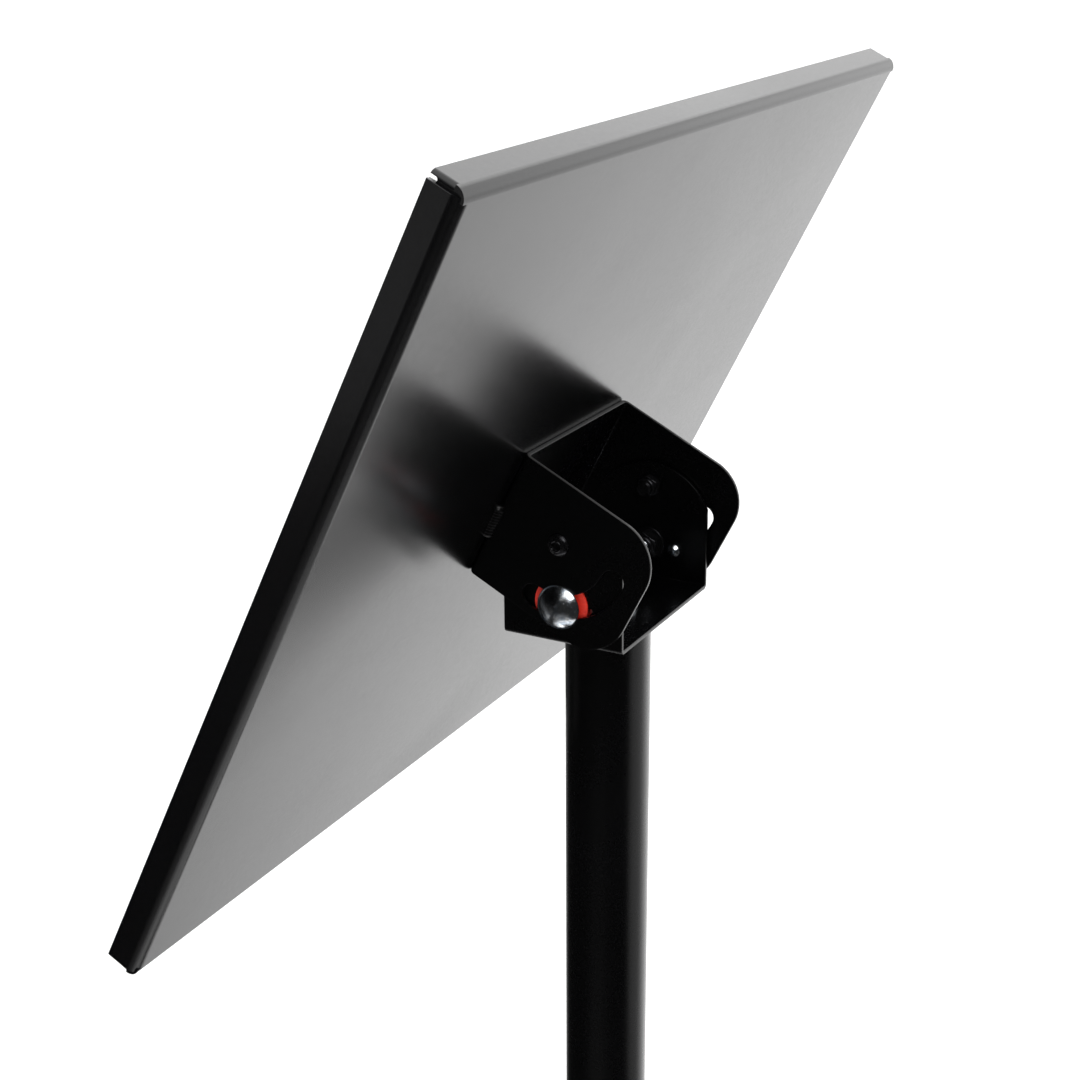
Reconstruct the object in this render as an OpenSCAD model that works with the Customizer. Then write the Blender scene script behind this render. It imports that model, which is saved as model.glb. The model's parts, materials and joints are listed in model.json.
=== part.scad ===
// Music stand: a folded steel desk on a tilting friction head, a telescopic round post and a round base.
// Millimetres, +Z up, origin on the floor under the post. The reader stands on the -Y side.

/* [Desk] */
// Width of the desk over its side rims
desk_w = 427; // [390:1:440]
// Height of the desk over its top and bottom rims
desk_h = 382; // [340:1:390]
// Depth of the rims, from the desk's back face to their front edge
rim_d = 15; // [13:0.5:20]
// Thickness of the desk sheet
desk_t = 1.5; // [1.2:0.1:1.6]
// Outside radius of the desk's folds
desk_fold_r = 5; // [4.5:0.1:5.5]
// Length of the tabs that the top and bottom rims turn in at the desk's corners
tab_l = 14; // [10:1:30]
// Lean of the desk from upright as built, in degrees
rest_tilt = 26.5; // [0:0.5:90]
// Whole tilt range that the slots give, from upright, in degrees
tilt_range = 90; // [90:90]

/* [Tilting head] */
// Sheet thickness of both brackets
bracket_t = 2; // [1.6:0.1:2]
// Width of the post bracket over its cheeks
cheek_w = 92; // [80:1:110]
// Depth of the post bracket, front to back
cheek_d = 59; // [50:1:59]
// Height of the tilt pivot over the underside of the post bracket
pivot_h = 48; // [47:0.5:52]
// Rise of the rounded cheeks above the pivot
cheek_rise = 11; // [10:1:18]
// Radius of the cheeks' tops
cheek_top_r = 32; // [31:0.5:40]
// Distance from the pivot to the clamp bolts
clamp_r = 29; // [28:0.5:30]
// Gap between each cheek and ear, which the friction washer fills
side_gap = 1; // [0.8:0.1:1.5]
// Distance from the pivot to the back of the desk
pivot_to_desk = 32; // [32:0.5:36]
// Distance of the desk's centre below the pivot, along the desk
desk_drop = 4; // [0:1:10]
// Height of the desk bracket along the desk
ear_h = 66; // [66:1:90]
// Distance of the desk bracket's centre below the pivot, along the desk
ear_drop = 5.5; // [4:0.5:6]
// Reach of the ears behind the pivot
ear_reach = 43.5; // [42:0.5:60]
// Corner radius of the ears
ear_corner_r = 21; // [15:1:28]
// Width of the curved slots
slot_w = 10.8; // [10.6:0.1:11.5]

/* [Post] */
// Height of the tilt pivot over the floor
pivot_z = 1100; // [1080:5:1230]
// Outside diameter of the upper tube
upper_od = 40; // [38:0.5:41]
// Length of the upper tube
upper_l = 692; // [680:1:700]
// Outside diameter of the lower tube
lower_od = 50; // [48:0.5:52]
// Height of the lower tube's top over the floor
lower_top = 600; // [560:5:620]
// Wall of the upper tube
upper_wall = 1.5; // [1.2:0.1:2]
// Wall of the lower tube
lower_wall = 2; // [1.5:0.1:2]

/* [Base] */
// Diameter of the base plate
base_d = 400; // [360:5:450]
// Thickness of the base plate
base_t = 6; // [5:0.5:10]
// Height of the rubber feet
foot_h = 3; // [2:0.5:5]
// Number of rubber feet
feet = 5; // [4:1:8]

/* [Hidden] */
$fn = 96;
over = 1;           // how far a cutting tool runs past the face that it opens
running = 0.05;     // radial clearance of a running fit
hex_k = 2 / sqrt(3);

// Head
ear_in = cheek_w / 2 + side_gap;
ear_out = ear_in + bracket_t;
cheek_in = cheek_w / 2 - bracket_t;
ear_fold_r = 3;
cheek_fold_r = 2.5;
ear_top = ear_h / 2 - ear_drop;
ear_bottom = ear_top - ear_h;
desk_back = -pivot_to_desk;
cheek_arc_z = cheek_rise - cheek_top_r;

// Fasteners of the head
pivot_d = 6;
pivot_head_d = 10.5;
pivot_head_h = 3.3;
pivot_nut_af = 10;
pivot_nut_h = 6;
bolt_d = 8;
bolt_head_d = 20.65;
bolt_head_h = 4.9;
neck_w = 8.5;
neck_corner_d = 10.2;
friction_od = 26;
washer_od = 16;
washer_t = 1.6;
nut_af = 13;
nut_h = 8;
nut_collar_h = 1.5;
thread_out = 1.4;
rivet_r = 2.5;
rivet_y = 13;
rivet_z = -31;
head_bolt_d = 10;
head_bolt_af = 17;
head_bolt_k = 6.4;
head_washer_od = 28;
head_washer_t = 2;

// Post
upper_r = upper_od / 2;
upper_in = upper_r - upper_wall;
lower_r = lower_od / 2;
lower_in = lower_r - lower_wall;
post_top = pivot_z - pivot_h;
upper_bottom = post_top - upper_l;
plug_l = 40;
glide_h = 15;
glide_r = lower_in - 0.1;
glide_screw_d = 8;
glide_screw_head_h = 5;
bush_l = 45;
bush_flange_t = 3;
bush_flange_r = lower_r + 2;

// Height lock
collar_h = 36;
collar_r = lower_r + 4;
boss_r = 11;
boss_end = 42;
lock_z = lower_top - collar_h / 2;
lock_d = 10;
pad_r = 4.9;
pad_end = 26;
knob_near = 48;
knob_t = 20;
knob_r = 17;
lobe_r = 8;
lobes = 5;
knob_cap_r = 9;

// Base
plate_z = foot_h;
flange_z = plate_z + base_t;
flange_t = 6;
flange_r = 55;
spigot_top = 55;
flange_pin_z = 38;
base_screw_pcd = 80;
base_screw_d = 6;
foot_r = 14;
foot_pcd = 350;

// Places the children at the pivot, upright
module at_pivot() translate([0, 0, pivot_z]) children();

// Places the children at the pivot in the desk's own tilted frame: +Z up the desk, +Y behind it
module on_desk() translate([0, 0, pivot_z]) rotate([-rest_tilt, 0, 0]) children();

// Repeats the children on the reader's right and, mirrored, on the left
module both_sides() for (side = [0, 1]) mirror([side, 0, 0]) children();

// A washer or ring lying in the XY plane
module ring(outer_r, inner_r, h) difference() {
    cylinder(r = outer_r, h = h);
    translate([0, 0, -over]) cylinder(r = inner_r, h = h + 2 * over);
}

// The outline of a quarter fold of sheet, from +X round to +Y
module fold_outline(r, t) intersection() {
    difference() {
        circle(r);
        circle(r - t);
    }
    square(r);
}

// Turns an outline drawn in XY, extruded along +Z, into one in YZ extruded along +X
module along_x() rotate([90, 0, 90]) children();

// Turns an outline drawn in XY, extruded along +Z, into one in XZ extruded along -Y
module along_y() rotate([90, 0, 0]) children();

// A screw's axis along +X: lays the children's +Z along +X
module facing_x() rotate([0, 90, 0]) children();

/* ---- desk ---- */

tab_fold_r = 2.5;
tab_out = desk_w / 2 - desk_t - 0.1;
rim_gap = 1.6;

// Half of the top rim with its fold, on the +X side
module top_rim() {
    translate([0, desk_back - desk_fold_r, desk_h / 2 - desk_fold_r]) along_x()
        linear_extrude(tab_out) fold_outline(desk_fold_r, desk_t);
    translate([0, desk_back - rim_d, desk_h / 2 - desk_t])
        cube([tab_out - tab_fold_r, rim_d - desk_fold_r, desk_t]);
}

// The upper half of the +X side rim with its fold, which is cut back inside where the top fold begins
module side_rim() {
    top = desk_h / 2 - desk_t - rim_gap;
    translate([desk_w / 2 - desk_fold_r, desk_back - desk_fold_r, 0]) {
        linear_extrude(desk_h / 2 - desk_fold_r) fold_outline(desk_fold_r, desk_t);
        linear_extrude(top) intersection() {
            circle(desk_fold_r);
            translate([desk_fold_r - desk_t, 0]) square([desk_t, desk_fold_r]);
        }
    }
    translate([desk_w / 2 - desk_t, desk_back - rim_d, 0]) cube([desk_t, rim_d - desk_fold_r, top]);
}

// The tab that the top rim turns in behind the side rim, with its open relief slot at the front
module corner_tab() {
    slot_r = rim_gap / 2;
    slot_l = 3.3;
    difference() {
        union() {
            translate([tab_out - tab_fold_r, desk_back - desk_fold_r, desk_h / 2 - tab_fold_r]) along_y()
                linear_extrude(rim_d - desk_fold_r) fold_outline(tab_fold_r, desk_t);
            translate([tab_out - desk_t, desk_back - rim_d, desk_h / 2 - desk_t - tab_l])
                cube([desk_t, rim_d - desk_fold_r, tab_l + desk_t - tab_fold_r]);
        }
        translate([tab_out - desk_fold_r, desk_back - rim_d, desk_h / 2 - desk_t - 0.2 - slot_r]) {
            translate([0, slot_l - slot_r, 0]) facing_x() cylinder(r = slot_r, h = 2 * desk_fold_r);
            translate([0, -over, -slot_r]) cube([2 * desk_fold_r, slot_l - slot_r + over, 2 * slot_r]);
        }
    }
    translate([tab_out - desk_t, desk_back - desk_fold_r, desk_h / 2 - desk_fold_r])
        cube([desk_t, desk_fold_r - desk_t - 0.2, desk_fold_r - desk_t + 0.1]);
}

module desk_tray() color("dimgray") on_desk() translate([0, 0, -desk_drop]) {
    inner_w = desk_w - 2 * desk_fold_r;
    inner_h = desk_h - 2 * desk_fold_r;
    translate([-inner_w / 2, desk_back - desk_t, -inner_h / 2]) cube([inner_w, desk_t, inner_h]);
    both_sides() for (half = [0, 1]) mirror([0, 0, half]) {
        top_rim();
        side_rim();
        corner_tab();
    }
}

/* ---- tilting head ---- */

// The rounded ear seen from the side, with +X of the outline behind the desk
module ear_outline() {
    straight = ear_reach - ear_corner_r;
    translate([desk_back + ear_fold_r, ear_bottom]) square([straight - desk_back - ear_fold_r, ear_h]);
    translate([straight, ear_bottom + ear_corner_r]) square([ear_corner_r, ear_h - 2 * ear_corner_r]);
    translate([straight, ear_top - ear_corner_r]) circle(ear_corner_r);
    translate([straight, ear_bottom + ear_corner_r]) circle(ear_corner_r);
}

// The curved slot that the clamp bolt runs in, a quarter turn about the pivot
module slot_outline() {
    intersection() {
        difference() {
            circle(clamp_r + slot_w / 2);
            circle(clamp_r - slot_w / 2);
        }
        translate([0, -2 * clamp_r]) square(2 * clamp_r);
    }
    for (end = [0, tilt_range]) rotate(end) translate([0, -clamp_r]) circle(slot_w / 2);
}

module desk_bracket() color("dimgray") on_desk() {
    translate([-ear_out + ear_fold_r, desk_back, ear_bottom])
        cube([2 * (ear_out - ear_fold_r), bracket_t, ear_h]);
    both_sides() {
        translate([ear_out - ear_fold_r, desk_back + ear_fold_r, ear_bottom]) mirror([0, 1, 0])
            linear_extrude(ear_h) fold_outline(ear_fold_r, bracket_t);
        translate([ear_in, 0, 0]) along_x() linear_extrude(bracket_t) difference() {
            ear_outline();
            slot_outline();
            circle(pivot_d / 2 + running);
        }
    }
}

// A stitch weld in the corner between each ear's outer fold and the desk's back
module desk_welds() color("dimgray") on_desk() both_sides() {
    weld_r = 3.4;
    translate([ear_out - ear_fold_r, desk_back, -18])
        linear_extrude(18) difference() {
            intersection() {
                translate([ear_fold_r - 0.4, 0]) circle(weld_r);
                square([ear_fold_r + weld_r, weld_r]);
            }
            translate([0, ear_fold_r]) circle(ear_fold_r);
            translate([-over, ear_fold_r]) square([ear_fold_r + over, weld_r]);
        }
}

// A cheek seen from the side: upright sides under a round top
module cheek_outline() {
    low = -pivot_h + cheek_fold_r;
    translate([-cheek_d / 2, low]) square([cheek_d, cheek_arc_z - low]);
    translate([0, cheek_arc_z]) intersection() {
        circle(cheek_top_r);
        translate([-cheek_d / 2, -over]) square([cheek_d, cheek_top_r + over]);
    }
}

module post_bracket() color("dimgray") at_pivot() difference() {
    union() {
        translate([-cheek_w / 2 + cheek_fold_r, -cheek_d / 2, -pivot_h])
            cube([cheek_w - 2 * cheek_fold_r, cheek_d, bracket_t]);
        both_sides() {
            translate([cheek_w / 2 - cheek_fold_r, -cheek_d / 2, -pivot_h + cheek_fold_r])
                mirror([0, 1, 0]) mirror([0, 0, 1]) along_y() linear_extrude(cheek_d)
                    fold_outline(cheek_fold_r, bracket_t);
            translate([cheek_in, 0, 0]) along_x() linear_extrude(bracket_t) cheek_outline();
        }
    }
    translate([0, 0, -pivot_h - over]) cylinder(r = head_bolt_d / 2 + 0.25, h = bracket_t + 2 * over);
    translate([-cheek_w, 0, 0]) facing_x() cylinder(r = pivot_d / 2 + 0.1, h = 2 * cheek_w);
    both_sides() {
        translate([cheek_in - over, -neck_w / 2 - 0.05, -clamp_r - neck_w / 2 - 0.05])
            cube([bracket_t + 2 * over, neck_w + 0.1, neck_w + 0.1]);
        translate([cheek_in - over, rivet_y, rivet_z]) facing_x()
            cylinder(r = rivet_r, h = bracket_t + 2 * over);
    }
}

// Rivets set flush in the cheeks, with domed tails inside
module cheek_rivets() color("silver") at_pivot() both_sides()
    translate([cheek_w / 2, rivet_y, rivet_z]) rotate([0, -90, 0]) {
        cylinder(r = rivet_r, h = bracket_t);
        intersection() {
            translate([0, 0, bracket_t]) cylinder(r = rivet_r + 0.9, h = 3);
            translate([0, 0, bracket_t - 0.6]) sphere(3.6);
        }
    }

// Button-head screws that the desk bracket turns on
module pivot_screws() color("black") at_pivot() both_sides() facing_x() {
    tip = cheek_in - pivot_nut_h - thread_out;
    dome_r = (pivot_head_d * pivot_head_d / 4 + pivot_head_h * pivot_head_h) / (2 * pivot_head_h);
    translate([0, 0, tip]) cylinder(r = pivot_d / 2, h = ear_out + running - tip);
    difference() {
        translate([0, 0, ear_out + running]) intersection() {
            cylinder(r = pivot_head_d / 2, h = pivot_head_h);
            translate([0, 0, pivot_head_h - dome_r]) sphere(dome_r);
        }
        translate([0, 0, ear_out + pivot_head_h - 2]) cylinder(r = 2 * hex_k, h = 2 + over, $fn = 6);
    }
}

// Nylon spacers on the pivot screws between cheek and ear
module pivot_spacers() color("ivory") at_pivot() both_sides() facing_x()
    translate([0, 0, cheek_w / 2]) ring(7, pivot_d / 2, side_gap - running);

// A lock nut: a hexagon with a round collar on its +Z end
module lock_nut(af, h, bore_r) difference() {
    union() {
        cylinder(r = af / 2 * hex_k, h = h - nut_collar_h, $fn = 6);
        translate([0, 0, h - nut_collar_h]) cylinder(r = af / 2 * 0.92, h = nut_collar_h);
    }
    translate([0, 0, -over]) cylinder(r = bore_r, h = h + 2 * over);
}

module pivot_nuts() color("black") at_pivot() both_sides()
    translate([cheek_in, 0, 0]) rotate([0, -90, 0]) lock_nut(pivot_nut_af, pivot_nut_h, pivot_d / 2);

// Carriage bolts: a domed head over a rounded square neck that sits in the cheek's square hole
module clamp_bolts() color("silver") at_pivot() both_sides() translate([0, 0, -clamp_r]) facing_x() {
    tip = cheek_in - washer_t - nut_h - thread_out;
    dome_r = (bolt_head_d * bolt_head_d / 4 + bolt_head_h * bolt_head_h) / (2 * bolt_head_h);
    translate([0, 0, tip]) cylinder(r = bolt_d / 2, h = ear_out + running - tip);
    translate([0, 0, cheek_in + 0.3]) intersection() {
        cylinder(r = neck_corner_d / 2, h = ear_out + running - cheek_in - 0.3);
        translate([-neck_w / 2, -neck_w / 2, 0]) cube([neck_w, neck_w, ear_out]);
    }
    translate([0, 0, ear_out + running]) intersection() {
        cylinder(r = bolt_head_d / 2, h = bolt_head_h);
        translate([0, 0, bolt_head_h - dome_r]) sphere(dome_r);
    }
}

// Red fibre washers that hold the tilt by friction
module friction_washers() color("red") at_pivot() both_sides() translate([0, 0, -clamp_r]) facing_x()
    translate([0, 0, cheek_w / 2]) ring(friction_od / 2, neck_corner_d / 2, side_gap - running);

module clamp_washers() color("black") at_pivot() both_sides() translate([0, 0, -clamp_r]) facing_x()
    translate([0, 0, cheek_in - washer_t]) ring(washer_od / 2, bolt_d / 2, washer_t);

module clamp_nuts() color("black") at_pivot() both_sides() translate([cheek_in - washer_t, 0, -clamp_r])
    rotate([0, -90, 0]) lock_nut(nut_af, nut_h, bolt_d / 2);

/* ---- post ---- */

module head_bolt() color("silver") translate([0, 0, post_top + bracket_t + head_washer_t]) {
    cylinder(r = head_bolt_af / 2 * hex_k, h = head_bolt_k, $fn = 6);
    translate([0, 0, -30]) cylinder(r = head_bolt_d / 2, h = 30);
}

module head_washer() color("silver") translate([0, 0, post_top + bracket_t])
    ring(head_washer_od / 2, head_bolt_d / 2, head_washer_t);

// Threaded plug pressed into the upper tube's top
module head_plug() color("gray") translate([0, 0, post_top - plug_l]) difference() {
    cylinder(r = upper_in, h = plug_l);
    translate([0, 0, plug_l - 34]) cylinder(r = head_bolt_d / 2, h = 34 + over);
}

module upper_tube() color("dimgray") translate([0, 0, upper_bottom]) ring(upper_r, upper_in, upper_l);

// Threaded plug pressed into the upper tube's foot
module end_plug() color("gray") translate([0, 0, upper_bottom]) ring(upper_in, glide_screw_d / 2, 20);

// Nylon puck that runs in the lower tube; the upper tube turns on its screw
module glide() color("ivory") translate([0, 0, upper_bottom - running - glide_h]) difference() {
    cylinder(r = glide_r, h = glide_h);
    translate([0, 0, -over]) cylinder(r = glide_screw_d / 2 + running, h = glide_h + 2 * over);
    translate([0, 0, -over]) cylinder(r = 8, h = glide_screw_head_h + 0.5 + over);
}

module glide_screw() color("silver") translate([0, 0, upper_bottom - running - glide_h + 0.45]) {
    cylinder(r = 6.5, h = glide_screw_head_h);
    cylinder(r = glide_screw_d / 2, h = glide_h + 14);
}

// Nylon sleeve and lip at the lower tube's mouth
module guide_bush() color("black") difference() {
    union() {
        translate([0, 0, lower_top - bush_l]) cylinder(r = lower_in, h = bush_l);
        translate([0, 0, lower_top]) cylinder(r = bush_flange_r, h = bush_flange_t);
    }
    translate([0, 0, lower_top - bush_l - over])
        cylinder(r = upper_r + running, h = bush_l + bush_flange_t + 2 * over);
    lock_bore(pad_r + running);
}

// A bore along +Y from the post's axis at the height of the lock screw
module lock_bore(r) translate([0, 0, lock_z]) rotate([-90, 0, 0]) cylinder(r = r, h = boss_end + over);

module lower_tube() color("dimgray") difference() {
    translate([0, 0, flange_z + flange_t]) ring(lower_r, lower_in, lower_top - flange_z - flange_t);
    lock_bore(pad_r + running);
    both_sides() translate([0, 0, flange_pin_z]) facing_x() cylinder(r = 2.5, h = lower_r + over);
}

/* ---- height lock ---- */

// Collar round the lower tube's mouth with a boss for the lock screw
module lock_collar() color("black") difference() {
    union() {
        translate([0, 0, lower_top - collar_h]) cylinder(r = collar_r, h = collar_h);
        translate([0, 0, lock_z]) rotate([-90, 0, 0]) cylinder(r = boss_r, h = boss_end);
    }
    translate([0, 0, lower_top - collar_h - over]) cylinder(r = lower_r, h = collar_h + 2 * over);
    lock_bore(lock_d / 2 + running);
    both_sides() translate([0, 0, lock_z]) facing_x() cylinder(r = 2.5, h = collar_r + over);
}

// Set screws that hold the collar on the lower tube
module collar_screws() color("silver") both_sides() translate([0, 0, lock_z]) facing_x() difference() {
    intersection() {
        cylinder(r = 2.5, h = collar_r);
        translate([-5, -5, lower_r]) cube(10);
    }
    translate([0, 0, collar_r - 2]) cylinder(r = 1.25 * hex_k, h = 2 + over, $fn = 6);
}

// Brass pad that the lock screw presses on the upper tube
module clamp_pad() color("gold") difference() {
    translate([0, 0, lock_z]) rotate([-90, 0, 0]) cylinder(r = pad_r, h = pad_end);
    translate([0, 0, lock_z - 10]) cylinder(r = upper_r + running, h = 20);
}

module lock_screw() color("silver") translate([0, pad_end, lock_z]) rotate([-90, 0, 0])
    cylinder(r = lock_d / 2, h = knob_near + knob_t - 6 - pad_end);

// Five-lobed hand knob on the lock screw
module lock_knob() color("black") translate([0, knob_near, lock_z]) rotate([-90, 0, 0]) difference() {
    union() {
        translate([0, 0, -4]) cylinder(r = 10, h = 5);
        cylinder(r = knob_r, h = knob_t);
        for (i = [0 : lobes - 1]) rotate(i * 360 / lobes) translate([0, knob_r, 0])
            cylinder(r = lobe_r, h = knob_t);
    }
    translate([0, 0, -4 - over]) cylinder(r = lock_d / 2, h = knob_t - 2 + over);
    translate([0, 0, knob_t - 1.5]) cylinder(r = knob_cap_r, h = 1.5 + over);
}

// Cap pressed into the knob's face
module knob_cap() color("gray") translate([0, knob_near + knob_t - 1.5, lock_z]) rotate([-90, 0, 0])
    cylinder(r = knob_cap_r, h = 2);

/* ---- base ---- */

// Flange with a spigot that the lower tube stands on
module base_flange() color("dimgray") difference() {
    union() {
        translate([0, 0, flange_z]) cylinder(r = flange_r, h = flange_t);
        translate([0, 0, flange_z + flange_t]) cylinder(r = lower_in, h = spigot_top - flange_z - flange_t);
    }
    for (i = [0 : 3]) rotate(45 + i * 90) translate([base_screw_pcd / 2, 0, flange_z - over])
        cylinder(r = base_screw_d / 2, h = flange_t + 2 * over);
    both_sides() translate([0, 0, flange_pin_z]) facing_x() translate([0, 0, lower_in - 10])
        cylinder(r = 2.5, h = 11);
}

// Grooved pins that lock the lower tube on its spigot
module flange_pins() color("silver") both_sides() translate([0, 0, flange_pin_z]) facing_x()
    translate([0, 0, lower_in - 10]) cylinder(r = 2.5, h = 10 + lower_wall);

module base_plate() color("dimgray") difference() {
    edge = 2;
    translate([0, 0, plate_z]) rotate_extrude($fn = 180) {
        square([base_d / 2 - edge, base_t]);
        square([base_d / 2, base_t - edge]);
        translate([base_d / 2 - edge, base_t - edge]) circle(edge);
    }
    for (i = [0 : 3]) rotate(45 + i * 90) translate([base_screw_pcd / 2, 0, plate_z]) {
        translate([0, 0, -over]) cylinder(r = base_screw_d / 2, h = base_t + 2 * over);
        translate([0, 0, -over]) cylinder(r = base_screw_d, h = 2.5 + over);
    }
}

// Screws up through the plate into the flange
module base_screws() color("silver") for (i = [0 : 3]) rotate(45 + i * 90)
    translate([base_screw_pcd / 2, 0, plate_z]) difference() {
        union() {
            cylinder(r = base_screw_d, h = 2.5);
            cylinder(r = base_screw_d / 2, h = base_t + flange_t - 1);
        }
        translate([0, 0, -over]) cylinder(r = 2 * hex_k, h = 1.5 + over, $fn = 6);
    }

module foot_pads() color("black") for (i = [0 : feet - 1]) rotate(90 + i * 360 / feet)
    translate([foot_pcd / 2, 0, 0]) cylinder(r = foot_r, h = foot_h);

desk_tray();
desk_bracket();
desk_welds();
post_bracket();
cheek_rivets();
pivot_screws();
pivot_spacers();
pivot_nuts();
clamp_bolts();
friction_washers();
clamp_washers();
clamp_nuts();
head_bolt();
head_washer();
head_plug();
upper_tube();
end_plug();
glide();
glide_screw();
guide_bush();
lower_tube();
lock_collar();
collar_screws();
clamp_pad();
lock_screw();
lock_knob();
knob_cap();
base_flange();
flange_pins();
base_plate();
base_screws();
foot_pads();
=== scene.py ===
"""The looks of a music stand: powder-coated desk, friction tilting head, telescopic post and round base."""

import json
from math import cos, pi, radians, sin, sqrt, tan

import bmesh
import bpy
from mathutils import Matrix, Vector


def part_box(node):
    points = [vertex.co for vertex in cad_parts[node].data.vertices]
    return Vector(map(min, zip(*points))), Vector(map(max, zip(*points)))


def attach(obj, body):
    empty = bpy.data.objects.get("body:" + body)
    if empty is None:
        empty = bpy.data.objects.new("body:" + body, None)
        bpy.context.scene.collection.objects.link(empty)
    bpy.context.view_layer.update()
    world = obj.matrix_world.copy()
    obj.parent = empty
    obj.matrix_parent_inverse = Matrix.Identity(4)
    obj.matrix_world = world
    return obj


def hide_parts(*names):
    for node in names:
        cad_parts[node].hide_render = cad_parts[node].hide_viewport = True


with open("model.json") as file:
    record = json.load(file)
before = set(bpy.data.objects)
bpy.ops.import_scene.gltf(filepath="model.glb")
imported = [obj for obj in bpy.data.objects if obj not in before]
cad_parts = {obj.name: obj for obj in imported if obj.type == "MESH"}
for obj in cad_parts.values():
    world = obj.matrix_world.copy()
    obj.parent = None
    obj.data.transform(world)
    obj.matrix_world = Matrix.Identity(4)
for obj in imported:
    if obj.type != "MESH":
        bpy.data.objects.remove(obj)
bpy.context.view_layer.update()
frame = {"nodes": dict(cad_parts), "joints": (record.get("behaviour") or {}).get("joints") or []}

MM = 0.001
SHARP = radians(34)  # shading breaks at edges above this angle
BEVELLED = radians(30)  # edges of CAD shapes above this angle get rounded
JOINTS = {j["name"]: j for j in frame["joints"]}
PIVOT = Vector(JOINTS["desk_tilt"]["pos_m"])
LEAN = radians(-JOINTS["desk_tilt"]["range_deg"][0])

# ---------------------------------------------------------------- geometry


def turned_to(axis, origin=(0, 0, 0)):
    """The matrix that lays local +Z along axis, with its origin moved to origin."""
    turn = Vector(axis).to_track_quat("Z", "Y").to_matrix().to_4x4()
    return Matrix.Translation(Vector(origin)) @ turn


def fillet(corners, steps=5):
    """Rounds a profile of (radius, height, corner radius) rows into plain (radius, height) points."""
    out = []
    for i, (r, z, size) in enumerate(corners):
        here = Vector((r, z))
        if size <= 0 or i in (0, len(corners) - 1):
            out.append((r, z))
            continue
        before = (Vector(corners[i - 1][:2]) - here).normalized()
        after = (Vector(corners[i + 1][:2]) - here).normalized()
        half = before.angle(after) / 2
        reach = size / tan(half)
        centre = here + (before + after).normalized() * (size / sin(half))
        start, end = here + before * reach - centre, here + after * reach - centre
        turn = start.angle_signed(end)
        for k in range(steps + 1):
            a = -turn * k / steps
            out.append((centre.x + start.x * cos(a) - start.y * sin(a),
                        centre.y + start.x * sin(a) + start.y * cos(a)))
    return out


def polar(bm, place, rings, steps=96, loop=False):
    """Adds a solid of rings, each (height, radius), where a radius is a number or a function of the angle.
    A loop joins its last ring to its first; any other solid is closed by flat ends."""
    made = []
    for z, radius in rings:
        row = []
        for k in range(steps):
            a = 2 * pi * k / steps
            r = radius(a) if callable(radius) else radius
            row.append(bm.verts.new(place @ Vector((r * cos(a), r * sin(a), z))))
        made.append(row)
    pairs = list(zip(made, made[1:])) + ([(made[-1], made[0])] if loop else [])
    for low, high in pairs:
        for k in range(steps):
            n = (k + 1) % steps
            bm.faces.new((low[k], low[n], high[n], high[k]))
    if not loop:
        bm.faces.new(list(reversed(made[0])))
        bm.faces.new(made[-1])


def lathe(bm, place, corners, steps=96, loop=False):
    """Adds a turned solid from a profile of (radius, height, corner radius) rows."""
    if loop:
        first, last = corners[0], corners[-1]
        mid = ((first[0] + last[0]) / 2, (first[1] + last[1]) / 2, 0)
        points = fillet([mid, *corners, mid])[:-1]
    else:
        points = fillet(corners)
    polar(bm, place, [(z, r) for r, z in points], steps, loop)


def hexagon(across_flats, cone=None):
    """The radius of a hexagon at each angle, cut by a cone of radius cone where that is less."""
    def radius(a):
        r = across_flats / 2 / cos((a + pi / 6) % (pi / 3) - pi / 6)
        return r if cone is None else min(r, cone)
    return radius


def hex_rings(across_flats, low, high, chamfer_low=True):
    """The rings of a hexagon prism with turned chamfers, at its foot only where chamfer_low says so."""
    slope, steps = 0.58, 6
    inner = across_flats / 2 * 0.97
    span = (across_flats / sqrt(3) - inner) * slope
    up = [(span * k / steps, inner + span * k / steps / slope) for k in range(steps + 1)]
    foot = [(low, hexagon(across_flats))]
    if chamfer_low:
        foot = [(low + h, hexagon(across_flats, c)) for h, c in up]
    return foot + [(high - h, hexagon(across_flats, c)) for h, c in reversed(up)]


def thread(bm, place, radius, pitch, low, high):
    """Adds a threaded rod with a real helix that fades out at both ends."""
    steps, per_turn, run_out, groove = 48, 10, 0.6 * pitch, 0.61 * pitch
    count = max(6, int((high - low) / pitch * per_turn))
    rings = [(low, radius - 0.75 * pitch)]
    for i in range(count + 1):
        z = low + (high - low) * i / count
        fade = max(0, min(1, (z - low) / run_out, (high - z) / run_out))

        def at(a, z=z, fade=fade):
            phase = (z / pitch - a / (2 * pi)) % 1
            depth = groove * (0.5 + 0.5 * cos(2 * pi * phase)) ** 1.1
            return radius - depth * fade - 0.25 * pitch * (1 - fade)
        rings.append((z, at))
    rings.append((high, radius - 0.75 * pitch))
    polar(bm, place, rings, steps)


def finish_mesh(bm, name):
    """Turns the bmesh into an object with smooth faces, sharp edges and face-weighted normals."""
    bmesh.ops.recalc_face_normals(bm, faces=bm.faces)
    for f in bm.faces:
        f.smooth = True
    for e in bm.edges:
        e.smooth = not (len(e.link_faces) == 2 and e.calc_face_angle(0) > SHARP)
    mesh = bpy.data.meshes.new(name)
    bm.to_mesh(mesh)
    bm.free()
    obj = bpy.data.objects.new(name, mesh)
    bpy.context.scene.collection.objects.link(obj)
    weighted = obj.modifiers.new("weighted", "WEIGHTED_NORMAL")
    weighted.keep_sharp = True
    return obj


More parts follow.
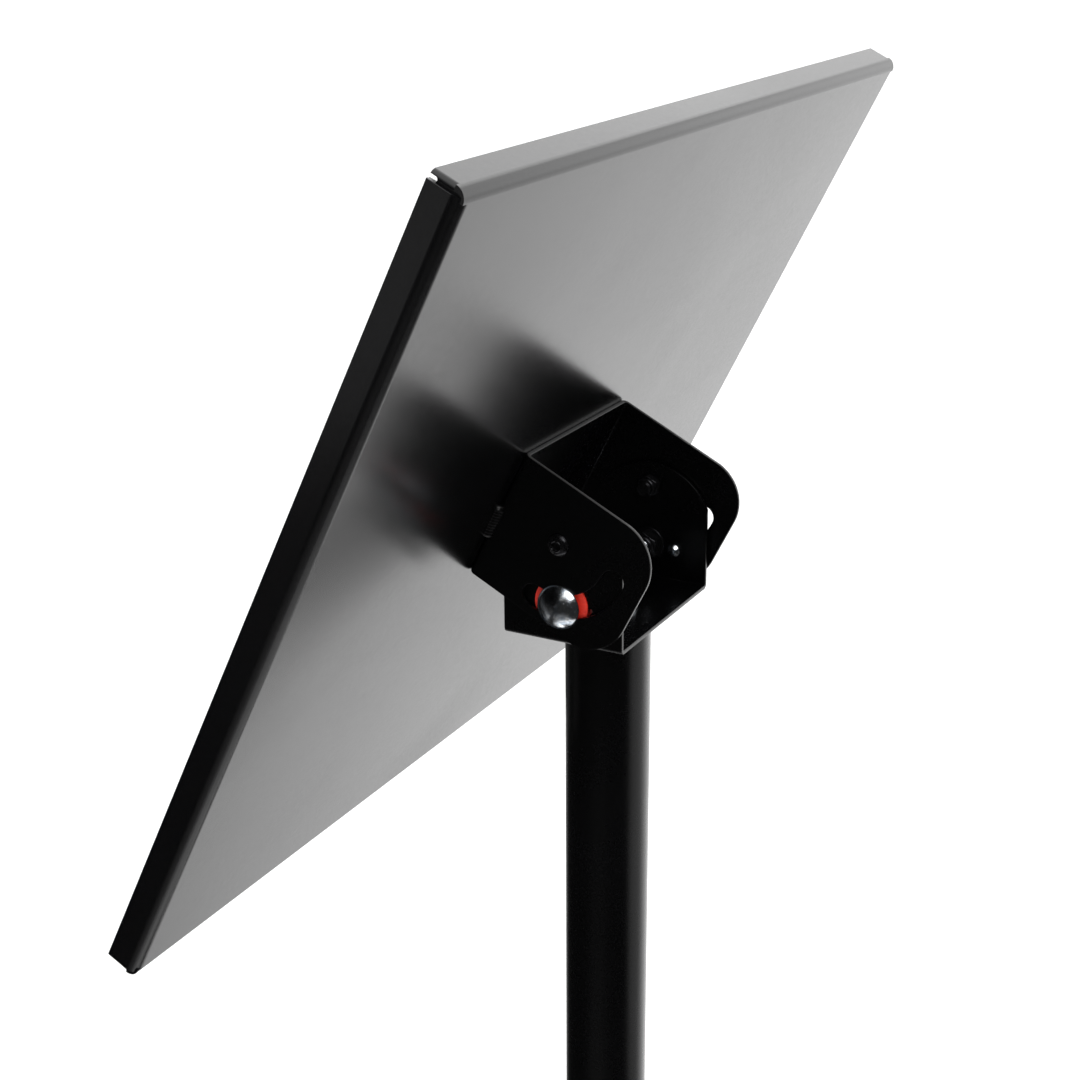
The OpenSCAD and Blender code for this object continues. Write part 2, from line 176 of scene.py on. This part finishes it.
def from_cad(node, edge, shortest=0):
    """A copy of a CAD node's shape with flat faces merged and sharp edges over shortest rounded by edge."""
    bm = bmesh.new()
    bm.from_mesh(frame["nodes"][node].data)
    bmesh.ops.remove_doubles(bm, verts=bm.verts, dist=2e-6)
    bmesh.ops.dissolve_limit(bm, angle_limit=radians(0.3), verts=bm.verts, edges=bm.edges)
    sharp = [e for e in bm.edges if len(e.link_faces) == 2 and e.calc_face_angle(0) > BEVELLED
             and e.calc_length() > shortest]
    bmesh.ops.bevel(bm, geom=sharp, offset=edge, offset_type="OFFSET", segments=2, profile=0.5,
                    affect="EDGES", clamp_overlap=False)
    return bm


def piece(bm, name, body, slot, node):
    """Makes the bmesh a piece that rides on body, wears its slot's material and stands for a CAD node."""
    obj = finish_mesh(bm, name)
    obj.data.materials.append(PAINT[slot])
    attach(obj, body)
    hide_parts(node)


# ---------------------------------------------------------------- materials


class Nodes:
    """A short way to write a material's node tree."""

    def __init__(self, name):
        self.material = bpy.data.materials.new(name)
        self.material.use_nodes = True
        self.tree = self.material.node_tree
        self.shader = self.tree.nodes["Principled BSDF"]
        self.place = self.tree.nodes.new("ShaderNodeTexCoord").outputs["Object"]

    def link(self, a, b):
        self.tree.links.new(a, b)

    def noise(self, scale, detail=3.0, rough=0.5, distortion=0.0, stretch=None):
        n = self.tree.nodes.new("ShaderNodeTexNoise")
        n.inputs["Scale"].default_value = scale
        n.inputs["Detail"].default_value = detail
        n.inputs["Roughness"].default_value = rough
        n.inputs["Distortion"].default_value = distortion
        self.link(self.stretched(stretch), n.inputs["Vector"])
        return n.outputs["Fac"]

    def stretched(self, stretch):
        if stretch is None:
            return self.place
        m = self.tree.nodes.new("ShaderNodeMapping")
        m.inputs["Scale"].default_value = stretch
        self.link(self.place, m.inputs["Vector"])
        return m.outputs["Vector"]

    def cells(self, scale):
        n = self.tree.nodes.new("ShaderNodeTexVoronoi")
        n.inputs["Scale"].default_value = scale
        self.link(self.place, n.inputs["Vector"])
        return n.outputs["Distance"]

    def span(self, value, low, high, to_low=0, to_high=1):
        n = self.tree.nodes.new("ShaderNodeMapRange")
        n.inputs["From Min"].default_value = low
        n.inputs["From Max"].default_value = high
        n.inputs["To Min"].default_value = to_low
        n.inputs["To Max"].default_value = to_high
        self.link(value, n.inputs["Value"])
        return n.outputs["Result"]

    def math(self, kind, a, b):
        n = self.tree.nodes.new("ShaderNodeMath")
        n.operation = kind
        for socket, v in zip(n.inputs, (a, b)):
            if isinstance(v, (int, float)):
                socket.default_value = v
            else:
                self.link(v, socket)
        return n.outputs[0]

    def mix(self, factor, a, b):
        n = self.tree.nodes.new("ShaderNodeMix")
        n.data_type = "RGBA"
        self.link(factor, n.inputs["Factor"])
        for socket, v in ((n.inputs[6], a), (n.inputs[7], b)):
            if isinstance(v, tuple):
                socket.default_value = (*v, 1)
            else:
                self.link(v, socket)
        return n.outputs[2]

    def bump(self, height, distance, after=None):
        n = self.tree.nodes.new("ShaderNodeBump")
        n.inputs["Distance"].default_value = distance
        self.link(height, n.inputs["Height"])
        if after is not None:
            self.link(after, n.inputs["Normal"])
        return n.outputs["Normal"]

    def set(self, **values):
        for key, v in values.items():
            socket = self.shader.inputs[key.replace("_", " ")]
            if isinstance(v, (int, float)):
                socket.default_value = v
            elif isinstance(v, tuple):
                socket.default_value = (*v, 1)
            else:
                self.link(v, socket)


def powder_coat(name, black, rough, peel, smudge, ior):
    """Black powder coat: fine orange peel, a faint cloudy colour, wiped smudges and a little dust."""
    n = Nodes(name)
    deep, light = (tuple(c * share for c in black) for share in (0.75, 1.3))
    colour = n.mix(n.span(n.noise(9, 4, 0.6), 0.3, 0.7), deep, light)
    settled = n.span(n.noise(23, 3, 0.6), 0.50, 0.70)
    dust = n.math("MULTIPLY", n.span(n.noise(1500, 3, 0.7), 0.60, 0.78), settled)
    colour = n.mix(n.math("MULTIPLY", dust, 0.02), colour, (0.30, 0.29, 0.28))
    wipe = n.span(n.noise(7, 4, 0.5, 0.5, (1.0, 1.0, 1.6)), 0.40, 0.70)
    grain = n.span(n.noise(420, 2, 0.5), 0.3, 0.7, -0.015, 0.015)
    roughness = n.math("ADD", n.math("MULTIPLY", wipe, smudge), grain)
    n.set(Base_Color=colour, Roughness=n.math("ADD", roughness, rough), IOR=ior)
    coarse = n.bump(n.noise(520, 2, 0.5), 0.00005 * peel)
    n.set(Normal=n.bump(n.noise(1700, 2, 0.6), 0.000012 * peel, after=coarse))
    return n.material


def metal(name, colour, dark, rough, spread, scratch=(1, 1, 1), scale=160, metallic=1.0):
    """A plated or machined metal with cloudy tarnish, directional scratches and darker patches."""
    n = Nodes(name)
    cloud = n.noise(scale, 5, 0.65, 0.4)
    lines = n.noise(scale * 6, 3, 0.6, 0, scratch)
    mottle = n.math("ADD", n.math("MULTIPLY", cloud, 0.6), n.math("MULTIPLY", lines, 0.4))
    n.set(Base_Color=n.mix(n.span(cloud, 0.38, 0.66), colour, dark), Metallic=metallic,
          Roughness=n.span(mottle, 0.3, 0.7, rough - spread, rough + spread), Normal=n.bump(lines, 0.00001))
    return n.material


def plated(name, bright, dull, smooth, rough):
    """Bright zinc plate that handling has dulled in cloudy patches, with pits and rubbed bright specks."""
    n = Nodes(name)
    patch = n.span(n.noise(330, 5, 0.7, 0.6), 0.40, 0.62)
    speck = n.math("MULTIPLY", n.span(n.cells(950), 0.16, 0.08), n.span(n.noise(520, 2, 0.5), 0.48, 0.60))
    worn = n.math("SUBTRACT", patch, speck)
    relief = n.math("SUBTRACT", n.math("MULTIPLY", patch, 0.5), speck)
    n.set(Base_Color=n.mix(n.span(worn, 0, 1), bright, dull), Metallic=1.0,
          Roughness=n.span(worn, 0, 1, smooth, rough), Normal=n.bump(relief, 0.00005))
    return n.material


def moulded(name, light, dark, rough, scale=700, bump=0.00004, soft=0.0):
    """Moulded plastic or rubber: fine grain, faint flow marks and slightly uneven gloss."""
    n = Nodes(name)
    flow = n.noise(40, 4, 0.6, 0.6)
    grain = n.noise(scale, 3, 0.6)
    gloss = n.math("ADD", n.math("MULTIPLY", flow, 0.5), n.math("MULTIPLY", grain, 0.5))
    n.set(Base_Color=n.mix(n.span(flow, 0.35, 0.65), light, dark), IOR=1.46,
          Roughness=n.span(gloss, 0.35, 0.65, rough - 0.06, rough + 0.08), Normal=n.bump(grain, bump))
    if soft:
        n.set(Subsurface_Weight=soft, Subsurface_Scale=0.002)
    return n.material


def fibre(name):
    """Vulcanised red fibre: matted short fibres under a dull pressed surface."""
    n = Nodes(name)
    mat = n.noise(900, 5, 0.7, 1.5, (1, 0.35, 1))
    cloud = n.noise(120, 3, 0.6)
    tint = n.math("ADD", n.math("MULTIPLY", mat, 0.6), n.math("MULTIPLY", cloud, 0.4))
    n.set(Base_Color=n.mix(n.span(tint, 0.36, 0.64), (0.93, 0.045, 0.018), (0.72, 0.02, 0.010)),
          Roughness=n.span(mat, 0.3, 0.7, 0.48, 0.66), Normal=n.bump(mat, 0.00004))
    return n.material


# One material per slot. Powder coats: black, roughness, orange peel, smudges, IOR. Metals: colour, tarnish,
# roughness and its spread. Zinc: bright and dull colour and roughness. Mouldings: light, dark, roughness.
PAINT = {
    "desk_paint": powder_coat("desk_paint", (0.0022, 0.0022, 0.0026), 0.215, 0.35, 0.04, 1.47),
    "bracket_paint": powder_coat("bracket_paint", (0.0010, 0.0010, 0.0012), 0.25, 0.7, 0.07, 1.40),
    "tube_paint": powder_coat("tube_paint", (0.0012, 0.0012, 0.0015), 0.25, 0.6, 0.06, 1.42),
    "collar_paint": powder_coat("collar_paint", (0.002, 0.002, 0.0023), 0.30, 1.0, 0.08, 1.42),
    "base_paint": powder_coat("base_paint", (0.003, 0.003, 0.0034), 0.36, 1.3, 0.10, 1.42),
    "black_screw": metal("black_screw", (0.03, 0.03, 0.033), (0.015, 0.015, 0.016), 0.19, 0.07, scale=220,
                         metallic=0.85),
    "zinc": plated("zinc", (0.90, 0.92, 0.94), (0.50, 0.56, 0.63), 0.07, 0.24),
    "bare_steel": metal("bare_steel", (0.55, 0.54, 0.53), (0.34, 0.33, 0.32), 0.34, 0.10, (1, 1, 12)),
    "brass": metal("brass", (0.83, 0.60, 0.25), (0.58, 0.38, 0.14), 0.26, 0.08, (8, 1, 8)),
    "red_fibre": fibre("red_fibre"),
    "nylon": moulded("nylon", (0.74, 0.71, 0.62), (0.66, 0.62, 0.52), 0.42, soft=0.25),
    "black_nylon": moulded("black_nylon", (0.007, 0.007, 0.0075), (0.005, 0.005, 0.0054), 0.40),
    "foot_rubber": moulded("foot_rubber", (0.022, 0.022, 0.022), (0.013, 0.013, 0.013), 0.72, 520, 0.00009),
}

# The CAD nodes that no piece replaces are shown as they are, in their slot's material
for node in frame["nodes"].values():
    materials = node.data.materials
    for index in range(len(materials)):
        materials[index] = PAINT[materials[index].name]

# ---------------------------------------------------------------- desk and head

piece(from_cad("desk_tray", 0.3 * MM, 2.5 * MM), "tray_sheet", "desk", "desk_paint", "desk_tray")
piece(from_cad("desk_bracket", 0.5 * MM), "ear_bracket", "desk", "bracket_paint", "desk_bracket")
piece(from_cad("post_bracket", 0.5 * MM), "cheek_bracket", "column", "bracket_paint", "post_bracket")


def pair_at(node):
    """Where a pair of fasteners sits: the outermost x of its box, and the y and z of its shared axis."""
    low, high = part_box(node)
    return high.x, (low.y + high.y) / 2, (low.z + high.z) / 2


def both(y, z):
    """The two places of a pair of fasteners whose shared axis lies along X, with +Z outwards."""
    return [turned_to((side, 0, 0), (0, y, z)) for side in (1, -1)]


bracket_t, plain_t = 2 * MM, 1.6 * MM  # the brackets' sheet and the plain washers under the clamp nuts
cheek_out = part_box("post_bracket")[1].x
ear_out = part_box("desk_bracket")[1].x
cheek_in = cheek_out - bracket_t
pivot_tip, pivot_y, pivot_z = pair_at("pivot_screws")
clamp_tip, clamp_y, clamp_z = pair_at("clamp_bolts")

# Black button-head screws that the desk turns on
SHANK_R, KEY = 2.95 * MM, 4 * MM
screw_low, screw_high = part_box("pivot_screws")
head_r = (screw_high.z - screw_low.z) / 2
rim = ear_out + 0.4 * MM
head = [(ear_out + 0.05 * MM, head_r * 0.985), (ear_out + 0.2 * MM, head_r)]
for k in range(12):
    t = radians(90 - 5.5 * k)
    head.append((rim + (pivot_tip - rim) * cos(t), head_r * sin(t)))
head += [(pivot_tip - 0.15 * MM, 2.42 * MM), (pivot_tip - 0.35 * MM, hexagon(KEY)),
         (pivot_tip - 1.9 * MM, hexagon(KEY)), (pivot_tip - 2.4 * MM, 0.5 * MM)]
bm = bmesh.new()
for place in both(pivot_y, pivot_z):
    thread(bm, place, 3 * MM, 1 * MM, cheek_in - 7.4 * MM, cheek_in - 0.2 * MM)
    polar(bm, place, [(cheek_in - 0.2 * MM, SHANK_R), (ear_out, SHANK_R)], 48)
    polar(bm, place, head)
piece(bm, "button_screws", "column", "black_screw", "pivot_screws")


def lock_nuts(across, height, seat, axis_y, axis_z, bore):
    """A pair of lock nuts that sit on the inner face at x = seat, with their nylon collars inwards."""
    hex_h, collar = height - 1.5 * MM, across / 2 * 0.90
    rings = hex_rings(across, 0, hex_h)
    rings += [(z, r) for r, z in fillet([(collar, hex_h, 0), (collar, height, 0.8 * MM),
                                         (bore + 0.3 * MM, height, 0)])]
    rings += [(height - 0.5 * MM, bore), (0.4 * MM, bore), (0, bore + 0.4 * MM)]
    bm = bmesh.new()
    for side in (1, -1):
        polar(bm, turned_to((-side, 0, 0), (side * seat, axis_y, axis_z)), rings, loop=True)
    return bm


piece(lock_nuts(10 * MM, 6 * MM, cheek_in, pivot_y, pivot_z, 3 * MM),
      "pivot_lock_nuts", "column", "black_screw", "pivot_nuts")
piece(lock_nuts(13 * MM, 8 * MM, cheek_in - plain_t, clamp_y, clamp_z, 4 * MM),
      "clamp_lock_nuts", "column", "black_screw", "clamp_nuts")

# Bright carriage bolts: a domed head that is part of a ball, and a square neck with rounded corners
BOLT_R, NECK_HALF, NECK_CORNER = 10.32 * MM, 4.24 * MM, 5.08 * MM
head_h = clamp_tip - ear_out
ball = (BOLT_R ** 2 + head_h ** 2) / (2 * head_h)
head = [(ear_out + 0.05 * MM, BOLT_R - 0.5 * MM), (ear_out + 0.18 * MM, BOLT_R - 0.12 * MM),
        (ear_out + 0.5 * MM, BOLT_R), (ear_out + 0.82 * MM, BOLT_R - 0.1 * MM)]
for k in range(1, 25):
    r = (BOLT_R - 0.28 * MM) * cos(pi / 2 * k / 25)
    head.append((clamp_tip - ball + sqrt(ball ** 2 - r ** 2) - 0.02 * MM, r))
head.append((clamp_tip - 0.02 * MM, 0.05 * MM))


def square_neck(a):
    """The neck's radius at each angle."""
    return min(NECK_HALF / cos((a + pi / 4) % (pi / 2) - pi / 4), NECK_CORNER)


bm = bmesh.new()
for place in both(clamp_y, clamp_z):
    thread(bm, place, 4 * MM, 1.25 * MM, cheek_in - 11 * MM, cheek_in + 0.3 * MM)
    polar(bm, place, [(cheek_in + 0.3 * MM, square_neck), (ear_out + 0.4 * MM, square_neck)])
    polar(bm, place, head, 128)
piece(bm, "carriage_bolts", "column", "zinc", "clamp_bolts")


def clamp_rings(outer, inner, low, high, edge):
    """A pair of washers on the clamp bolts from x = low to x = high, with edges rounded by edge."""
    bm = bmesh.new()
    for place in both(clamp_y, clamp_z):
        lathe(bm, place, [(inner, low, edge), (outer, low, edge), (outer, high, edge), (inner, high, edge)],
              loop=True)
    return bm


piece(clamp_rings(13 * MM, 5.1 * MM, cheek_out, cheek_out + 0.95 * MM, 0.15 * MM),
      "fibre_washers", "column", "red_fibre", "friction_washers")
piece(clamp_rings(8 * MM, 4 * MM, cheek_in - plain_t, cheek_in, 0.3 * MM),
      "plain_washers", "column", "black_screw", "clamp_washers")

# Rivets with domed tails inside the cheeks and their outer ends sunk below the cheeks' outer faces
RIVET_R, SUNK = 2.5 * MM, 1.3 * MM
rivet_low, rivet_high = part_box("cheek_rivets")
rivet_y, rivet_z = (rivet_low.y + rivet_high.y) / 2, (rivet_low.z + rivet_high.z) / 2
bm = bmesh.new()
for side in (1, -1):
    lathe(bm, turned_to((-side, 0, 0), (side * cheek_out, rivet_y, rivet_z)),
          [(0.05 * MM, SUNK, 0), (RIVET_R, SUNK, 0.15 * MM), (RIVET_R, bracket_t, 0),
           (3.4 * MM, bracket_t, 0.1 * MM), (3.4 * MM, 3.3 * MM, 0.9 * MM), (1.9 * MM, 4.8 * MM, 1.2 * MM),
           (0.05 * MM, 4.95 * MM, 0)], 64)
piece(bm, "dome_rivets", "column", "zinc", "cheek_rivets")

# Hexagon bolt and washer in the bracket's floor
bolt_low, bolt_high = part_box("head_bolt")
washer_low, washer_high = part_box("head_washer")
upright = Matrix.Identity(4)
face_r, seat_z = 7.9 * MM, washer_high.z + 0.4 * MM
bm = bmesh.new()
polar(bm, upright, [(washer_high.z, face_r), (seat_z, face_r),
                    *hex_rings(17 * MM, seat_z, bolt_high.z, chamfer_low=False),
                    (bolt_high.z - 0.25 * MM, 5.2 * MM)])
thread(bm, upright, 5 * MM, 1.5 * MM, bolt_low.z, washer_high.z - 0.2 * MM)
piece(bm, "head_hex_bolt", "column", "zinc", "head_bolt")
bm = bmesh.new()
lathe(bm, upright, [(5 * MM, washer_low.z, 0.2 * MM), (14 * MM, washer_low.z, 0.3 * MM),
                    (14 * MM, washer_high.z, 0.5 * MM), (5 * MM, washer_high.z, 0.2 * MM)], loop=True)
piece(bm, "head_plain_washer", "column", "zinc", "head_washer")

# Weld beads with overlapping ripples, in the desk's own tilted frame
DESK_BACK, WELD_LOW, WELD_L = -32 * MM, -18 * MM, 18 * MM
BEAD_R, RIPPLE, BURIED = 3.38 * MM, 1.5 * MM, 0.3 * MM
STEPS, SIDES = 72, 14
desk_frame = Matrix.Translation(PIVOT) @ Matrix.Rotation(-LEAN, 4, "X")
corner_x, deep_y = ear_out - 0.4 * MM, DESK_BACK - BURIED
bm = bmesh.new()
for side in (1, -1):
    rows = []
    for i in range(STEPS + 1):
        t = i / STEPS
        z = WELD_LOW + WELD_L * t
        swell = min(1, sqrt(max(0, 1 - (2 * t - 1) ** 8)) + 0.04)
        row = []
        for k in range(SIDES + 1):
            a = radians(-4 + 104 * k / SIDES)
            wave = (z / RIPPLE - 0.35 * cos((a - pi / 4) * 1.6)) % 1
            r = BEAD_R * swell * (1 - 0.085 * wave ** 1.5 - 0.02 * sin(z * 900 + side))
            row.append((corner_x + r * cos(a), max(deep_y, DESK_BACK + r * sin(a)), z))
        row.append((corner_x, deep_y, z))
        rows.append([bm.verts.new(desk_frame @ Vector((side * x, y, z))) for x, y, z in row])
    for a, b in zip(rows, rows[1:]):
        for k in range(len(a)):
            n = (k + 1) % len(a)
            bm.faces.new((a[k], a[n], b[n], b[k]))
    bm.faces.new(rows[0])
    bm.faces.new(list(reversed(rows[-1])))
piece(bm, "weld_beads", "desk", "bracket_paint", "desk_welds")

# ---------------------------------------------------------------- post

TUBE_R, TUBE_BORE, TUBE_EDGE = 20 * MM, 18.5 * MM, 0.3 * MM
low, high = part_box("upper_tube")
bm = bmesh.new()
lathe(bm, upright, [(TUBE_BORE, low.z, TUBE_EDGE), (TUBE_R, low.z, TUBE_EDGE), (TUBE_R, high.z, TUBE_EDGE),
                    (TUBE_BORE, high.z, TUBE_EDGE)], 192, loop=True)
piece(bm, "inner_post", "column", "tube_paint", "upper_tube")
piece(from_cad("lower_tube", 0.35 * MM), "outer_post", "base", "tube_paint", "lower_tube")
piece(from_cad("guide_bush", 0.30 * MM), "mouth_bush", "base", "black_nylon", "guide_bush")
piece(from_cad("lock_collar", 0.8 * MM), "clamp_collar", "base", "collar_paint", "lock_collar")

# ---------------------------------------------------------------- lock screw and knob

screw_low, screw_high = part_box("lock_screw")
knob_low, knob_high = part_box("lock_knob")
lock_z = (screw_low.z + screw_high.z) / 2
outwards = turned_to((0, 1, 0), (0, 0, lock_z))
bm = bmesh.new()
thread(bm, outwards, 5 * MM, 1.5 * MM, screw_low.y, screw_high.y)
piece(bm, "knob_stud", "lock", "zinc", "lock_screw")

LOBES, CREST, HOLLOW = 5, 24.95 * MM, 5.2 * MM


def lobed(inset):
    """The knob's outline drawn in by inset: soft lobes with hollows between them."""
    def radius(a):
        wave = 0.5 + 0.5 * cos(LOBES * (a - pi / 2))
        return CREST - inset - HOLLOW * (1 - wave ** 0.85)
    return radius


NECK, BACK_ROUND, FACE_ROUND = 4 * MM, 2.6 * MM, 4.2 * MM
face, back = knob_high.y, knob_low.y + NECK
rings = [(knob_low.y, 9.2 * MM), (knob_low.y + 0.25 * MM, 9.75 * MM), (knob_low.y + 0.8 * MM, 10 * MM),
         (back, 10.4 * MM)]
for k in range(7):
    t = pi / 2 * k / 6
    rings.append((back + BACK_ROUND * (1 - cos(t)) + 0.01 * MM, lobed(BACK_ROUND * (1 - sin(t)))))
for k in range(9):
    t = pi / 2 * k / 8
    rings.append((face - FACE_ROUND * (1 - sin(t)), lobed(FACE_ROUND * (1 - cos(t)))))
rings += [(face, 10.2 * MM), (face - 0.12 * MM, 9.6 * MM), (face - 0.5 * MM, 9.3 * MM),
          (face - 1.4 * MM, 9.25 * MM), (face - 1.4 * MM, 5.2 * MM)]
bm = bmesh.new()
polar(bm, outwards, rings, 240)
piece(bm, "star_knob", "lock", "black_nylon", "lock_knob")

CAP_R, DISH_R, DISH_DEPTH = 8.9 * MM, 6.4 * MM, 0.35 * MM
cap_low, cap_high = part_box("knob_cap")
dish = cap_high.y - DISH_DEPTH
bm = bmesh.new()
lathe(bm, outwards, [(0.1 * MM, cap_low.y, 0), (CAP_R, cap_low.y, 0.1 * MM), (CAP_R, cap_high.y, 0.7 * MM),
                     (DISH_R, cap_high.y, 0.3 * MM), (DISH_R - 0.4 * MM, dish, 0.3 * MM),
                     (0.1 * MM, dish, 0)])
piece(bm, "face_cap", "lock", "black_nylon", "knob_cap")

# ---------------------------------------------------------------- base

piece(from_cad("base_flange", 0.8 * MM), "post_flange", "base", "base_paint", "base_flange")
piece(from_cad("base_plate", 0.3 * MM), "floor_plate", "base", "base_paint", "base_plate")
piece(from_cad("base_screws", 0.2 * MM), "countersunk_screws", "base", "zinc", "base_screws")
piece(from_cad("collar_screws", 0.15 * MM), "set_screws", "base", "black_screw", "collar_screws")

# Rubber feet with a shallow groove under each
FEET, FOOT_PCD, FOOT_R, GROOVE = 5, 350 * MM, 14 * MM, 0.5 * MM
foot_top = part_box("foot_pads")[1].z
foot = [(0.1 * MM, 0, 0), (9 * MM, 0, 0.2 * MM), (9.4 * MM, GROOVE, 0.2 * MM),
        (10.6 * MM, GROOVE, 0.2 * MM), (11 * MM, 0, 0.2 * MM), (FOOT_R, 0, 0.7 * MM),
        (FOOT_R, foot_top, 0.2 * MM), (0.1 * MM, foot_top, 0)]
bm = bmesh.new()
for i in range(FEET):
    a = radians(90 + 360 / FEET * i)
    lathe(bm, Matrix.Translation((FOOT_PCD / 2 * cos(a), FOOT_PCD / 2 * sin(a), 0)), foot, 72)
piece(bm, "rubber_feet", "base", "foot_rubber", "foot_pads")

# ---------------------------------------------------------------- studio

scene = bpy.context.scene
scene.view_settings.view_transform = "Standard"

paper = Nodes("studio_floor")
paper.set(Base_Color=paper.mix(paper.span(paper.noise(1.5, 3, 0.5), 0.3, 0.7), (0.90,) * 3, (0.8865,) * 3),
          Roughness=0.9)
bm = bmesh.new()
bmesh.ops.create_grid(bm, x_segments=1, y_segments=1, size=60)
mesh = bpy.data.meshes.new("studio_floor")
bm.to_mesh(mesh)
bm.free()
floor = bpy.data.objects.new("studio_floor", mesh)
scene.collection.objects.link(floor)
floor.data.materials.append(paper.material)
floor.visible_glossy = False


def softbox(name, where, look_at, side, power):
    """A square area light at where that points to look_at."""
    light = bpy.data.lights.new(name, "AREA")
    light.shape = "RECTANGLE"
    light.size = light.size_y = side
    light.energy = power
    obj = bpy.data.objects.new(name, light)
    obj.location = where
    obj.rotation_euler = (Vector(look_at) - Vector(where)).to_track_quat("-Z", "Y").to_euler()
    scene.collection.objects.link(obj)


softbox("key", (-2.2, -0.6, 3.4), (-1.0, -0.1, 0.6), 3.2, 30)
softbox("rim_fill", PIVOT + Vector((1.03, -0.52, -0.02)), PIVOT + Vector((0.21, 0.01, 0.18)), 0.35, 0.15)

# The world lights the stand from overhead, from underfoot and from the -X side. Elsewhere it is dark, apart
# from a few narrow glows. A row is a direction, the cosines between which the light rises, and its strength.
GLOWS = {
    "side": ((-0.985, 0, -0.17), 0.42, 1.0, 1.85),
    "top": ((0, 0, 1), 0.30, 0.90, 1.9),
    "floor": ((-0.05, 0.05, -0.99), 0.80, 0.95, 1.4),
    "back": ((-0.28, 0.88, -0.38), 0.92, 0.99, 0.7),
    "fill": ((0.50, 0, -0.87), 0.84, 1.0, 0.2),
    "fold": ((-0.75, 0.60, 0.28), 0.86, 0.98, 0.9),
    "high": ((0.58, 0.55, 0.60), 0.962, 0.99, 4.0),
}
ROOM_LIGHT = 0.02

world = bpy.data.worlds.new("studio")
scene.world = world
world.use_nodes = True
tree = world.node_tree
direction = tree.nodes.new("ShaderNodeTexCoord").outputs["Generated"]


def glow(toward, low, high, strength):
    """Light from the world that rises from 0 to strength as its direction turns to face toward."""
    dot = tree.nodes.new("ShaderNodeVectorMath")
    dot.operation = "DOT_PRODUCT"
    dot.inputs[1].default_value = toward
    ramp = tree.nodes.new("ShaderNodeMapRange")
    ramp.interpolation_type = "SMOOTHSTEP"
    for socket, value in zip(("From Min", "From Max", "To Min", "To Max"), (low, high, 0, strength)):
        ramp.inputs[socket].default_value = value
    tree.links.new(direction, dot.inputs[0])
    tree.links.new(dot.outputs["Value"], ramp.inputs["Value"])
    return ramp.outputs["Result"]


total = tree.nodes.new("ShaderNodeValue").outputs[0]
total.default_value = ROOM_LIGHT
for name, row in GLOWS.items():
    plus = tree.nodes.new("ShaderNodeMath")
    plus.label = name
    tree.links.new(total, plus.inputs[0])
    tree.links.new(glow(*row), plus.inputs[1])
    total = plus.outputs[0]

# The camera itself sees the world plain white
shown = tree.nodes.new("ShaderNodeMix")
tree.links.new(tree.nodes.new("ShaderNodeLightPath").outputs["Is Camera Ray"], shown.inputs["Factor"])
tree.links.new(total, shown.inputs["A"])
shown.inputs["B"].default_value = 1.0
background = tree.nodes["Background"]
background.inputs["Color"].default_value = (1, 1, 1, 1)
tree.links.new(shown.outputs["Result"], background.inputs["Strength"])

# ---------------------------------------------------------------- camera

SENSOR, FOCAL = 36, 63.0567
EYE = PIVOT + Vector((0.7290, 0.3613, 0.2841))
LOOK = Vector((-0.8247, -0.4492, -0.3437)).normalized()
ROLL = radians(-0.435)
camera = bpy.data.cameras.new("camera")
camera.sensor_width = SENSOR
camera.lens = FOCAL
camera.clip_end = 200
camera_obj = bpy.data.objects.new("camera", camera)
scene.collection.objects.link(camera_obj)
camera_obj.location = EYE
aim = LOOK.to_track_quat("-Z", "Y").to_matrix() @ Matrix.Rotation(ROLL, 3, "Z")
camera_obj.rotation_euler = aim.to_euler()
scene.camera = camera_obj
